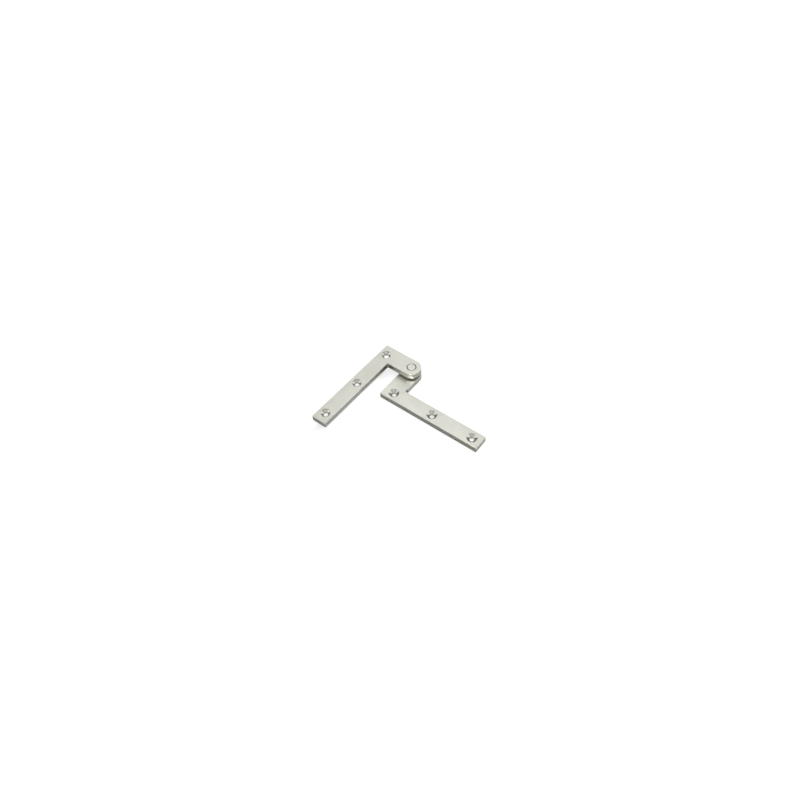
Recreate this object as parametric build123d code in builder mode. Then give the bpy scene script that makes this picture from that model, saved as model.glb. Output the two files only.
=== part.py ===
from build123d import *
from math import radians, tan
import os

os.makedirs("parts", exist_ok=True)

# Offset pivot hinge. Two L-shaped leaves lie one over the other on an upright pin, with a ball
# thrust bearing between them. The origin is on the pin's axis, at the underside of the lower leaf.
# The lower leaf's long arm runs along +X. The upper leaf is the same plate, turned by the opening.

# Leaf plate, the same outline for both leaves
leaf_length = 111.1
leaf_width = 15.9
leaf_reach = 47.6
leaf_thickness = 6.35
pivot_arm_width = 19.05
corner_radius = 0.5
edge_radius = 0.45
leaf_opening = 90.0

# Screw holes, evenly spaced on the centre line of the long arm between the first, near the elbow,
# and the last, near the far end, and countersunk from both faces
screw_count = 3
first_screw = 11.1
last_screw = 10.0
screw_hole_diameter = 4.8
screw_side_diameter = 10.4
seat_side_diameter = 9.2
countersink_angle = 90.0

# Pivot pin: a flush head, a plain shank and a riveted tail
shank_diameter = 6.35
head_diameter = 8.4
head_height = 1.9
head_chamfer = 0.3
centre_mark_diameter = 1.2
centre_mark_angle = 90.0
tail_diameter = 8.2
tail_angle = 90.0

# Thrust bearing: two grooved races with a ring of balls in a cage
ball_diameter = 2.38
ball_count = 10
ball_circle_diameter = 10.9
groove_diameter = 2.6
groove_depth = 0.3
race_thickness = 1.2
race_rim = 1.85
bearing_recess = 1.05
cage_thickness = 1.0
cage_wall = 0.45

# Fits
running_clearance = 0.05
head_clearance = 0.25
end_play = 0.1
race_clearance = 0.1
ball_play = 0.04
pocket_clearance = 0.12

# Radii and distances from the pin's axis
pivot_arm_half = pivot_arm_width / 2
outer_edge = leaf_reach - pivot_arm_half
screw_line = outer_edge - leaf_width / 2
screw_pitch = (leaf_length - first_screw - last_screw) / (screw_count - 1)
screw_hole_radius = screw_hole_diameter / 2
screw_side_radius = screw_side_diameter / 2
seat_side_radius = seat_side_diameter / 2
shank_radius = shank_diameter / 2
bore_radius = shank_radius + running_clearance
head_radius = head_diameter / 2
head_seat_radius = head_radius + head_clearance
tail_radius = tail_diameter / 2
mark_radius = centre_mark_diameter / 2
ball_radius = ball_diameter / 2
ball_circle_radius = ball_circle_diameter / 2
groove_radius = groove_diameter / 2
pocket_radius = ball_radius + pocket_clearance
race_inner_radius = shank_radius + race_clearance
race_outer_radius = ball_circle_radius + race_rim
race_seat_radius = race_outer_radius + race_clearance

# Heights, stacked from the underside of the lower leaf to the top of the upper one
race_spacing = ball_diameter + 2 * ball_play - 2 * groove_depth
lower_race_base = leaf_thickness - bearing_recess
lower_race_top = lower_race_base + race_thickness
ball_centre = lower_race_top + race_spacing / 2
upper_race_base = lower_race_top + race_spacing
upper_race_top = upper_race_base + race_thickness
upper_leaf_base = upper_race_top - bearing_recess
upper_leaf_top = upper_leaf_base + leaf_thickness
head_base = upper_leaf_top - head_height
tail_height = (tail_radius - shank_radius) / tan(radians(tail_angle / 2))
mark_depth = mark_radius / tan(radians(centre_mark_angle / 2))

# Planes on the leaves' faces, each looking out of its leaf. The screw faces look at each other
# across the gap, and the seat faces lie against the door and its frame.
lower_blank = Plane.XY
lower_screw_face = lower_blank.offset(leaf_thickness)
lower_seat_face = Plane(lower_blank.origin, x_dir=lower_blank.x_dir, z_dir=(0, 0, -1))
upper_blank = Plane.XY.offset(upper_leaf_base).rotated((0, 0, -leaf_opening))
upper_seat_face = upper_blank.offset(leaf_thickness)
upper_screw_face = Plane(upper_blank.origin, x_dir=upper_blank.x_dir, z_dir=(0, 0, -1))


def screw_places(facing):
    """Centres of the screw holes on a face that looks up, facing 1, or down, facing -1."""
    start = first_screw - pivot_arm_half
    return [(start + screw_pitch * i, -screw_line * facing) for i in range(screw_count)]


# Outline of a leaf about its pivot: a round end, a short arm to the elbow and a long arm
with BuildSketch() as leaf_outline:
    Circle(pivot_arm_half)
    Rectangle(pivot_arm_width, outer_edge, align=(Align.CENTER, Align.MAX))
    with Locations((-pivot_arm_half, -outer_edge)):
        Rectangle(leaf_length, leaf_width, align=(Align.MIN, Align.MIN))
    corners = leaf_outline.vertices().filter_by_position(Axis.Y, -outer_edge, -pivot_arm_half)
    fillet(corners, corner_radius)

# Lower leaf: a recess for the bearing on top, and a countersink for the pin's tail below
with BuildPart() as lower_leaf:
    with BuildSketch(lower_blank):
        add(leaf_outline.sketch)
    extrude(amount=leaf_thickness)
    fillet(lower_leaf.faces().filter_by(Axis.Z).edges(), edge_radius)
    with Locations(lower_screw_face):
        CounterBoreHole(shank_radius, race_seat_radius, bearing_recess)
        with Locations(*screw_places(1)):
            CounterSinkHole(screw_hole_radius, screw_side_radius, counter_sink_angle=countersink_angle)
    with Locations(lower_seat_face):
        CounterSinkHole(shank_radius, tail_radius, counter_sink_angle=tail_angle)
        with Locations(*screw_places(-1)):
            CounterSinkHole(screw_hole_radius, seat_side_radius, counter_sink_angle=countersink_angle)
lower_leaf.part.label = "lower_leaf"
export_step(lower_leaf.part, "parts/lower_leaf.step")

# Upper leaf: the bearing's recess is in its underside, and a counterbore on top takes the pin's head
with BuildPart() as upper_leaf:
    with BuildSketch(upper_blank):
        add(leaf_outline.sketch)
    extrude(amount=leaf_thickness)
    fillet(upper_leaf.faces().filter_by(Axis.Z).edges(), edge_radius)
    with Locations(upper_screw_face):
        CounterBoreHole(bore_radius, race_seat_radius, bearing_recess)
        with Locations(*screw_places(-1)):
            CounterSinkHole(screw_hole_radius, screw_side_radius, counter_sink_angle=countersink_angle)
    with Locations(upper_seat_face):
        CounterBoreHole(bore_radius, head_seat_radius, head_height + end_play)
        with Locations(*screw_places(1)):
            CounterSinkHole(screw_hole_radius, seat_side_radius, counter_sink_angle=countersink_angle)
    mouths = upper_leaf.edges().filter_by(GeomType.CIRCLE).group_by(Axis.Z)[-1]
    chamfer(mouths.filter_by(lambda rim: abs(rim.radius - head_seat_radius) < head_clearance), head_chamfer)
upper_leaf.part.label = "upper_leaf"
export_step(upper_leaf.part, "parts/upper_leaf.step")

# Pivot pin: turned head with a centre mark, shank, and a tail spread into the lower leaf's countersink
with BuildPart() as pivot_pin:
    with BuildSketch(Plane.XZ):
        with BuildLine():
            Polyline(
                (0, 0),
                (tail_radius, 0),
                (shank_radius, tail_height),
                (shank_radius, head_base),
                (head_radius, head_base),
                (head_radius, upper_leaf_top - head_chamfer),
                (head_radius - head_chamfer, upper_leaf_top),
                (mark_radius, upper_leaf_top),
                (0, upper_leaf_top - mark_depth),
                close=True,
            )
        make_face()
    revolve(axis=Axis.Z)
pivot_pin.part.label = "pivot_pin"
export_step(pivot_pin.part, "parts/pivot_pin.step")


def race_section(base, groove_centre):
    """Section of a race beside the pin's axis: a washer with one round-bottomed groove."""
    with Locations((race_inner_radius, base)):
        Rectangle(race_outer_radius - race_inner_radius, race_thickness, align=(Align.MIN, Align.MIN))
    with Locations((ball_circle_radius, groove_centre)):
        Circle(groove_radius, mode=Mode.SUBTRACT)


# Lower race: lies in the lower leaf's recess, groove up
with BuildPart() as lower_race:
    with BuildSketch(Plane.XZ):
        race_section(lower_race_base, lower_race_top - groove_depth + groove_radius)
    revolve(axis=Axis.Z)
lower_race.part.label = "lower_race"
export_step(lower_race.part, "parts/lower_race.step")

# Upper race: the same washer in the upper leaf's recess, groove down
with BuildPart() as upper_race:
    with BuildSketch(Plane.XZ):
        race_section(upper_race_base, upper_race_base + groove_depth - groove_radius)
    revolve(axis=Axis.Z)
upper_race.part.label = "upper_race"
export_step(upper_race.part, "parts/upper_race.step")

# Ball cage: a flat ring at the height of the balls' centres, with a round pocket for each ball
with BuildPart() as ball_cage:
    with BuildSketch(Plane.XY.offset(ball_centre - cage_thickness / 2)):
        Circle(ball_circle_radius + pocket_radius + cage_wall)
        Circle(ball_circle_radius - pocket_radius - cage_wall, mode=Mode.SUBTRACT)
        with PolarLocations(ball_circle_radius, ball_count):
            Circle(pocket_radius, mode=Mode.SUBTRACT)
    extrude(amount=cage_thickness)
ball_cage.part.label = "ball_cage"
export_step(ball_cage.part, "parts/ball_cage.step")

# Balls: one in each pocket of the cage
for number, place in enumerate(PolarLocations(ball_circle_radius, ball_count), start=1):
    with BuildPart(Plane.XY.offset(ball_centre)) as ball:
        with Locations(place):
            Sphere(ball_radius)
    ball.part.label = f"ball_{number:02d}"
    export_step(ball.part, f"parts/{ball.part.label}.step")
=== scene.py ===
import bpy
from math import pi, radians
from mathutils import Matrix, Vector

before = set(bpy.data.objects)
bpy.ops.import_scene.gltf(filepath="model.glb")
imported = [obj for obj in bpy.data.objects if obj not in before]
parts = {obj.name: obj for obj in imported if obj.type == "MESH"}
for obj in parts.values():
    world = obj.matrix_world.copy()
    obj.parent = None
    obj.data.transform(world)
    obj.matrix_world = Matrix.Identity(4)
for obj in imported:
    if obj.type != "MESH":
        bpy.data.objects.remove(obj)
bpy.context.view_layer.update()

# LOWER LEAF
# The plate that is let into the frame: 6.35 mm steel, blanked to an L, its faces linished along
# the long arm, its screw holes countersunk on a drill press, then plated in satin nickel.

nickel = (0.697, 0.697, 0.632)
nickel_dull = tuple(0.955 * c for c in nickel)
# the next tone is the thinner plating of the grain and also painted shade in the holes; the one after
# is a painted highlight on the rounded edges
nickel_thin_and_shade = (0.636, 0.636, 0.572)
nickel_edge_highlight = (0.870, 0.870, 0.805)
satin = 0.42
screw_pitch = 0.045
last_screw = 2.0
countersink_reach = 0.0054
pin_seat_reach = 0.0048
ring_pitch = 0.00022
# painted shade: its colour, the radius of the groove round the pin that it lies in, and the level
# direction that its two arcs face
painted_shade_colour = (0.09, 0.09, 0.08)
groove_radius = 0.00432
arc_side = (0.7517, 0.6595, 0.0)


def node_adder(tree):
    """A function that adds a node to a tree and sets it up. Its inputs are numbers, colours or
    sockets, under their labels, or under i and their place in the list."""

    def add(kind, settings=None, **inputs):
        node = tree.nodes.new("ShaderNode" + kind)
        for setting, value in (settings or {}).items():
            setattr(node, setting, value)
        for socket, value in inputs.items():
            key = int(socket[1:]) if socket[1:].isdigit() else socket.replace("_", " ")
            if isinstance(value, bpy.types.NodeSocket):
                tree.links.new(value, node.inputs[key])
            else:
                node.inputs[key].default_value = value
        return node

    return add


def finish_tree(name):
    """A new material of metal, a function that adds a node to it, and one that gives its shader a
    value or links it to a socket."""
    material = bpy.data.materials.new(name)
    material.use_nodes = True
    tree = material.node_tree
    shader = next(n for n in tree.nodes if n.type == "BSDF_PRINCIPLED")

    def plug(value, socket):
        if isinstance(value, bpy.types.NodeSocket):
            tree.links.new(value, shader.inputs[socket])
        else:
            shader.inputs[socket].default_value = value

    plug(1.0, "Metallic")
    return material, node_adder(tree), plug


def number(add, operation, *values):
    """One Math node. Its values are numbers or sockets."""
    sockets = {f"i{i}": v for i, v in enumerate(values)}
    return add("Math", {"operation": operation}, **sockets).outputs[0]


def vector(add, operation, *values):
    """One Vector Math node. Its values are triples or sockets."""
    sockets = {f"i{i}": v for i, v in enumerate(values)}
    result = "Value" if operation in ("DOT_PRODUCT", "LENGTH") else "Vector"
    return add("VectorMath", {"operation": operation}, **sockets).outputs[result]


def fade(add, value, start, end, low=0.0, high=1.0):
    """Turns a value from start to end into one from low to high, with soft ends."""
    node = add(
        "MapRange",
        {"interpolation_type": "SMOOTHSTEP"},
        Value=value,
        From_Min=start,
        From_Max=end,
        To_Min=low,
        To_Max=high,
    )
    return node.outputs["Result"]


def mix(add, amount, first, second):
    """Goes from a first number to a second one by an amount."""
    return add("Mix", {"data_type": "FLOAT"}, i0=amount, i2=first, i3=second).outputs[0]


def tint(add, amount, first, second):
    """Goes from a first colour to a second one by an amount."""
    sockets = {}
    for key, colour in (("i6", first), ("i7", second)):
        sockets[key] = colour if isinstance(colour, bpy.types.NodeSocket) else (*colour, 1.0)
    return add("Mix", {"data_type": "RGBA"}, i0=amount, **sockets).outputs[2]


def distance(add, along, across):
    """Length of a level line from its two legs."""
    squares = [number(add, "MULTIPLY", leg, leg) for leg in (along, across)]
    return number(add, "SQRT", number(add, "ADD", *squares))


def from_axis(add, place, axis=(0.0, 0.0, 0.0)):
    """Distance from an upright axis, which is the pin's unless a point on another is given."""
    split = add("SeparateXYZ", Vector=vector(add, "SUBTRACT", place, axis))
    return distance(add, split.outputs["X"], split.outputs["Y"])


def painted_shade_in_groove(add, place, from_pin):
    """How much painted shade lies in the groove round the pin: none on the two sides square to
    arc_side, and most on the two sides that face arc_side and away from it."""
    outward = vector(add, "NORMALIZE", vector(add, "MULTIPLY", place, (1.0, 1.0, 0.0)))
    on_side = number(add, "ABSOLUTE", vector(add, "DOT_PRODUCT", outward, arc_side))
    off_groove = number(add, "ABSOLUTE", number(add, "SUBTRACT", from_pin, groove_radius))
    in_groove = fade(add, off_groove, 0.00050, 0.00038, 0.0, 0.95)
    return number(add, "MULTIPLY", fade(add, on_side, 0.45, 0.85), in_groove)


def satin_nickel(name, first_hole, row, painted_shade_corner=None):
    """Satin nickel over steel that is linished along row, the level direction of the screw holes
    from first_hole on. The turned rings in the countersinks are centred on the holes. Painted shade
    darkens the sides and rounded edges round an inner corner of the outline, given as the last
    argument."""
    material, add, plug = finish_tree(name)
    place = add("TexCoord").outputs["Object"]
    facing = add("TexCoord").outputs["Normal"]
    along_x = row[0] != 0

    # how far a spot is turned towards the flat faces, and how much it belongs to the blanked sides
    upright = number(add, "ABSOLUTE", add("SeparateXYZ", Vector=facing).outputs["Z"])
    blanked = number(add, "SUBTRACT", 1.0, fade(add, upright, 0.02, 0.2))

    # belt lines 0.2 to 0.4 mm apart and many times as long, and the finer hairs between them. On the
    # sides both run level, round the outline.
    def grain_lines(along, across, up, side_along, side_up, detail, roughness):
        on_faces = (along, across, up) if along_x else (across, along, up)
        faces_at = add("Mapping", Vector=place, Scale=on_faces).outputs[0]
        on_sides = (side_along, side_along, side_up)
        sides_at = add("Mapping", Vector=place, Scale=on_sides).outputs[0]
        where = add("Mix", {"data_type": "VECTOR"}, i0=blanked, i4=faces_at, i5=sides_at).outputs[1]
        noise = add("TexNoise", Vector=where, Scale=1.0, Detail=detail, Roughness=roughness)
        return noise.outputs[0]

    lines = grain_lines(34.0, 3000.0, 2400.0, 70.0, 2600.0, detail=5.0, roughness=0.62)
    hairs = grain_lines(110.0, 8200.0, 6200.0, 260.0, 7600.0, detail=3.0, roughness=0.55)

    # plating: a slow drift in tone, and fine tooth of the satin bath
    drift = add("TexNoise", Vector=place, Scale=55.0, Detail=2.0, Roughness=0.5).outputs[0]
    tooth = add("TexNoise", Vector=place, Scale=9000.0, Detail=2.0, Roughness=0.6).outputs[0]

    # distances from the nearest screw hole's axis and from the pin's. A spot is in a hole where it
    # lies within its mouth and isn't on the flat face.
    split = add("SeparateXYZ", Vector=vector(add, "SUBTRACT", place, first_hole))
    run, side = ("X", "Y") if along_x else ("Y", "X")
    reach = number(add, "MULTIPLY", split.outputs[run], sum(row))
    nearest = number(add, "ROUND", number(add, "DIVIDE", reach, screw_pitch))
    nearest = number(add, "MINIMUM", number(add, "MAXIMUM", nearest, 0.0), last_screw)
    past = number(add, "SUBTRACT", reach, number(add, "MULTIPLY", nearest, screw_pitch))
    from_hole = distance(add, past, split.outputs[side])
    from_pin = from_axis(add, place)
    in_mouth = fade(add, from_hole, countersink_reach, countersink_reach - 0.00015)
    in_seat = fade(add, from_pin, pin_seat_reach, pin_seat_reach - 0.00005)
    in_hole = number(add, "MAXIMUM", in_mouth, in_seat)
    in_hole = number(add, "MULTIPLY", in_hole, fade(add, upright, 0.97, 0.90))
    rings = number(add, "SINE", number(add, "MULTIPLY", from_hole, 2 * pi / ring_pitch))

    # the rounded edges, made brighter by a painted highlight
    rounded = number(add, "MULTIPLY", fade(add, upright, 0.04, 0.3), fade(add, upright, 0.985, 0.86))
    on_edge = number(add, "MULTIPLY", rounded, number(add, "SUBTRACT", 1.0, in_hole))

    # painted shade in the groove round the pin, on two arcs, and at the inner corner
    painted_shade = painted_shade_in_groove(add, place, from_pin)
    # painted shade on the sides and rounded edges near the inner corner
    if painted_shade_corner:
        in_corner = fade(add, from_axis(add, place, painted_shade_corner), 0.0046, 0.0018, 0.0, 0.85)
        in_corner = number(add, "MULTIPLY", in_corner, fade(add, upright, 0.95, 0.80))
        painted_shade = number(add, "MAXIMUM", painted_shade, in_corner)

    tone = tint(add, fade(add, drift, 0.3, 0.75), nickel, nickel_dull)
    tone = tint(add, fade(add, lines, 0.5, 0.85, 0.0, 0.30), tone, nickel_thin_and_shade)
    tone = tint(add, fade(add, hairs, 0.62, 0.85, 0.0, 0.35), tone, nickel_thin_and_shade)
    # painted highlight on the rounded edges
    tone = tint(add, number(add, "MULTIPLY", on_edge, 0.9), tone, nickel_edge_highlight)
    # painted shade in the screw holes and the pin's seat
    tone = tint(add, number(add, "MULTIPLY", in_hole, 0.25), tone, nickel_thin_and_shade)
    plug(tint(add, painted_shade, tone, painted_shade_colour), "Base Color")

    rough = fade(add, lines, 0.25, 0.8, satin - 0.045, satin + 0.05)
    rough = number(add, "ADD", rough, fade(add, hairs, 0.3, 0.8, -0.03, 0.04))
    rough = number(add, "ADD", rough, fade(add, drift, 0.3, 0.7, -0.02, 0.03))
    for where, smoother in ((blanked, 0.16), (on_edge, 0.10), (in_hole, 0.25)):
        rough = number(add, "SUBTRACT", rough, number(add, "MULTIPLY", where, smoother))
    plug(rough, "Roughness")

    height = number(
        add, "ADD", number(add, "MULTIPLY", lines, 0.6), number(add, "MULTIPLY", hairs, 0.4)
    )
    height = number(add, "MULTIPLY", height, number(add, "SUBTRACT", 1.0, in_hole))
    turned = number(add, "MULTIPLY", rings, number(add, "MULTIPLY", in_hole, 0.3))
    height = number(add, "ADD", height, turned)
    height = number(add, "ADD", height, number(add, "MULTIPLY", tooth, 0.10))
    plug(add("Bump", Strength=0.35, Distance=0.000012, Height=height).outputs[0], "Normal")

    # the grain's direction: along the belt on the flat faces, and round the rim on the sides
    belt = (1.0, 0.0, 0.0) if along_x else (0.0, 1.0, 0.0)
    round_rim = vector(add, "CROSS_PRODUCT", (0.0, 0.0, 1.0), facing)
    flat = fade(add, upright, 0.93, 0.995)
    grain = add("Mix", {"data_type": "VECTOR"}, i0=flat, i4=round_rim, i5=belt).outputs[1]
    to_world = {"vector_type": "VECTOR", "convert_from": "OBJECT", "convert_to": "WORLD"}
    grain = add("VectorTransform", to_world, Vector=grain).outputs[0]
    plug(vector(add, "NORMALIZE", grain), "Tangent")
    plug(0.5, "Anisotropic")
    return material


def coat(node, material):
    """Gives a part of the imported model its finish."""
    part = parts[node]
    part.data.materials.clear()
    part.data.materials.append(material)


lower_finish = satin_nickel(
    "lower_leaf_nickel",
    first_hole=(0.001575, -0.030125, 0.0),
    row=(1, 0),
    painted_shade_corner=(0.009525, -0.022175, 0.0),
)
coat("lower_leaf", lower_finish)

# PIVOT PIN
# Turned from bar on a lathe: a flush head with a centre mark, a plain shank, and a tail that is
# riveted into the underside of the lower leaf. Plated with the leaves.

turning_pitch = 0.00026
material, add, plug = finish_tree("turned_nickel")
place = add("TexCoord").outputs["Object"]
radius = from_axis(add, place)
up = add("SeparateXYZ", Vector=place).outputs["Z"]
wander = add("TexNoise", Vector=place, Scale=700.0, Detail=2.0).outputs[0]
turning = number(add, "ADD", radius, number(add, "MULTIPLY", wander, 0.00008))
feed = number(add, "SINE", number(add, "MULTIPLY", turning, 2 * pi / turning_pitch))
spiral_at = add("CombineXYZ", X=number(add, "MULTIPLY", radius, 9000.0), Y=up).outputs[0]
spiral = add("TexNoise", Vector=spiral_at, Scale=1.0, Detail=4.0, Roughness=0.6).outputs[0]
tone = tint(add, fade(add, spiral, 0.35, 0.8, 0.0, 0.45), nickel, nickel_thin_and_shade)
centre_mark = fade(add, radius, 0.0009, 0.0006, 0.0, 0.35)
tone = tint(add, centre_mark, tone, nickel_thin_and_shade)
# painted shade on two arcs of the groove round the head
plug(tint(add, painted_shade_in_groove(add, place, radius), tone, painted_shade_colour), "Base Color")
rough = fade(add, spiral, 0.25, 0.8, satin - 0.09, satin + 0.05)
smooth_rim = fade(add, radius, 0.00386, 0.00392, 0.0, 0.26)
plug(number(add, "SUBTRACT", rough, smooth_rim), "Roughness")
height = number(
    add, "ADD", number(add, "MULTIPLY", feed, 0.3), number(add, "MULTIPLY", spiral, 0.7)
)
plug(add("Bump", Strength=0.4, Distance=0.000012, Height=height).outputs[0], "Normal")
coat("pivot_pin", material)

# BEARING RACES
# Two grooved washers of bearing steel, hardened and ground, with the blue-grey sheen of bare steel
# under a film of oil. One lies in each leaf's recess.

steel_bright = (0.50, 0.50, 0.50)
steel_blue = (0.40, 0.405, 0.41)
steel_oiled = (0.36, 0.35, 0.33)
grinding = 12000.0
material, add, plug = finish_tree("ground_bearing_steel")
place = add("TexCoord").outputs["Object"]
outward = number(add, "MULTIPLY", from_axis(add, place), grinding)
up = number(add, "MULTIPLY", add("SeparateXYZ", Vector=place).outputs["Z"], grinding)
ground_at = add("CombineXYZ", X=outward, Y=up).outputs[0]
ground = add("TexNoise", Vector=ground_at, Scale=1.0, Detail=4.0, Roughness=0.6).outputs[0]
oil = add("TexNoise", Vector=place, Scale=320.0, Detail=2.0).outputs[0]
tone = tint(add, fade(add, ground, 0.3, 0.8), steel_bright, steel_blue)
plug(tint(add, fade(add, oil, 0.5, 0.75, 0.0, 0.5), tone, steel_oiled), "Base Color")
plug(fade(add, ground, 0.25, 0.8, 0.20, 0.34), "Roughness")
plug(add("Bump", Strength=0.3, Distance=0.00001, Height=ground).outputs[0], "Normal")
coat("lower_race", material)
coat("upper_race", material)

# BALL CAGE
# A flat ring of cold-rolled steel sheet, blanked with ten round pockets and tumbled until its
# # edges are soft, with a patchy film of grease.

sheet_steel = (0.56, 0.56, 0.55)
sheet_greased = (0.36, 0.355, 0.34)
material, add, plug = finish_tree("tumbled_cage_steel")
place = add("TexCoord").outputs["Object"]
greased = add("TexNoise", Vector=place, Scale=650.0, Detail=3.0, Roughness=0.6).outputs[0]
tumbled = add("TexNoise", Vector=place, Scale=6500.0, Detail=2.0).outputs[0]
plug(tint(add, fade(add, greased, 0.42, 0.7), sheet_steel, sheet_greased), "Base Color")
plug(fade(add, greased, 0.3, 0.8, 0.26, 0.44), "Roughness")
plug(add("Bump", Strength=0.3, Distance=0.00001, Height=tumbled).outputs[0], "Normal")
coat("ball_cage", material)

# BALLS
# Ten bearing balls of hardened steel, one in each pocket of the cage. They are lapped bright, under
# a thin uneven film of grease.

ball_steel = (0.77, 0.77, 0.76)
ball_greased = (0.66, 0.64, 0.58)
ball_count = 10
material, add, plug = finish_tree("lapped_steel")
place = add("TexCoord").outputs["Object"]
grease = add("TexNoise", Vector=place, Scale=1400.0, Detail=2.0).outputs[0]
plug(tint(add, fade(add, grease, 0.45, 0.7), ball_steel, ball_greased), "Base Color")
plug(fade(add, grease, 0.4, 0.75, 0.06, 0.20), "Roughness")
for ball in range(1, ball_count + 1):
    coat(f"ball_{ball:02d}", material)

# UPPER LEAF
# The same plate, let into the door. It is linished along its own long arm and turns on the pin,
# with its plain face up and the bearing in its underside.

upper_finish = satin_nickel(
    "upper_leaf_nickel",
    first_hole=(-0.030125, -0.001575, 0.0),
    row=(0, -1),
)
coat("upper_leaf", upper_finish)

# FLOOR
# A sheet of white card, wide enough to reach the horizon, that takes the hinge's shadow. It glows
# # for the camera, and so do its reflections, but not those of the last few centimetres, which is
# # painted shade in the metal's reflections near the hinge.

card_size = 8.0
card_drop = 0.00002
card_grey = 0.49
glow_under_hinge = 0.76
bpy.ops.object.select_all(action="DESELECT")
bpy.ops.mesh.primitive_plane_add(size=card_size, location=(0, 0, -card_drop))
floor = bpy.context.object
floor.name = "floor"
card = bpy.data.materials.new("white_card")
card.use_nodes = True
card.node_tree.nodes.clear()
add = node_adder(card.node_tree)
ray = add("LightPath")
mirrored = number(add, "MAXIMUM", ray.outputs["Is Glossy Ray"], ray.outputs["Is Transmission Ray"])
# painted shade: reflections of the last few centimetres of card leave its glow out
far_off = add("MapRange", Value=ray.outputs["Ray Length"], From_Min=0.02, From_Max=0.10).outputs[0]
mirrored = number(add, "MULTIPLY", mirrored, far_off)
seen = number(add, "MAXIMUM", ray.outputs["Is Camera Ray"], mirrored)
from_middle = vector(add, "LENGTH", add("TexCoord").outputs["Object"])
glow = fade(add, from_middle, 0.25, 0.90, glow_under_hinge, 1.0)
shine = add("Emission", Strength=number(add, "MULTIPLY", seen, glow)).outputs[0]
matte = add("BsdfDiffuse", Color=(card_grey, card_grey, card_grey, 1.0)).outputs[0]
add("OutputMaterial", Surface=add("AddShader", i0=matte, i1=shine).outputs[0])
floor.data.materials.append(card)

# LIGHT
# A white room that is grey overhead and in front, where the countersinks mirror it, and four soft
# lamps. The camera itself sees only white, and the card takes a quarter of the room's light.

behind_hinge = (-0.66, 0.752, 0.0)
overhead_grey = 0.18
share_for_card = 0.25
world = bpy.data.worlds.new("white_room")
bpy.context.scene.world = world
world.use_nodes = True
world.node_tree.nodes.clear()
add = node_adder(world.node_tree)
way = add("TexCoord").outputs["Generated"]
up = add("SeparateXYZ", Vector=way).outputs["Z"]
behind = vector(add, "DOT_PRODUCT", way, behind_hinge)

# higher up: bright behind, dark at the sides, and half bright in front
high = fade(add, behind, -0.08, 0.6, 0.28, 0.87)
high = number(add, "ADD", high, fade(add, behind, -0.35, -0.75, 0.0, 0.43))
high = mix(add, fade(add, up, 0.86, 0.97), high, overhead_grey)

# low down: brightest at the sides, and dim in front, which the top faces mirror when seen from behind
low = fade(add, behind, -0.40, -0.80, 1.12, 0.30)
low = number(add, "MULTIPLY", low, fade(add, behind, 0.2, 0.8, 1.0, 0.72))

room = mix(add, fade(add, up, 0.59, 0.45), high, low)
ray = add("LightPath")
mirrored = number(add, "MAXIMUM", ray.outputs["Is Glossy Ray"], ray.outputs["Is Transmission Ray"])
share = add("MapRange", Value=mirrored, To_Min=share_for_card, To_Max=1.0).outputs[0]
level = number(add, "MAXIMUM", number(add, "MULTIPLY", share, room), ray.outputs["Is Camera Ray"])
sky = add("Background", Color=(1.0, 1.0, 1.0, 1.0), Strength=level).outputs[0]
add("OutputWorld", Surface=sky)

hinge_middle = Vector((0.01, -0.03, 0.0))
lamp_distance = 0.9


def lamp(name, azimuth, elevation, size, power, on_card=True, on_metal=True):
    """A square soft lamp aimed at the hinge. Azimuth 0 is behind it, towards +Y, and 90 towards -X."""
    data = bpy.data.lights.new(name, "AREA")
    data.shape = "SQUARE"
    data.size = size
    data.energy = power
    turn = Matrix.Rotation(radians(azimuth), 4, "Z") @ Matrix.Rotation(radians(elevation), 4, "X")
    back = turn @ Vector((0, 1, 0))
    light = bpy.data.objects.new(name, data)
    light.location = hinge_middle + back * lamp_distance
    light.rotation_euler = back.to_track_quat("Z", "Y").to_euler()
    light.visible_diffuse = on_card
    light.visible_glossy = on_metal
    bpy.context.scene.collection.objects.link(light)


# the flat faces mirror the main lamp, and the round end mirrors the front lamp as a bright line. The
# other two light only the card, and so the sides, which mirror it.
lamp("main_lamp", 41.0, 68.0, 0.35, 0.80)
lamp("front_lamp", 221.0, 62.0, 0.20, 4.7, on_card=False)
lamp("side_lamp", 318.7, 42.0, 0.40, 5.6, on_metal=False)
lamp("top_lamp", 0.0, 89.0, 0.60, 2.9, on_metal=False)

# CAMERA
# It stands where the photograph was taken from: right of the front, about 50 degrees up, and
# leaning a little.

view_azimuth = radians(41.26)
view_elevation = radians(50.60)
view_lean = radians(4.18)
looks_at = Vector((0.00829, -0.02986, 0.0))
stand_off = 0.6832
camera_data = bpy.data.cameras.new("camera")
camera_data.sensor_width = 36.0
camera_data.lens = 32.0
camera_data.clip_start = 0.02
camera_data.clip_end = 30.0
camera = bpy.data.objects.new("camera", camera_data)
bpy.context.scene.collection.objects.link(camera)
turn = (
    Matrix.Rotation(view_azimuth, 4, "Z")
    @ Matrix.Rotation(pi / 2 - view_elevation, 4, "X")
    @ Matrix.Rotation(-view_lean, 4, "Z")
)
camera.matrix_world = Matrix.Translation(looks_at + turn @ Vector((0, 0, stand_off))) @ turn
bpy.context.scene.camera = camera
bpy.context.scene.view_settings.view_transform = "Standard"
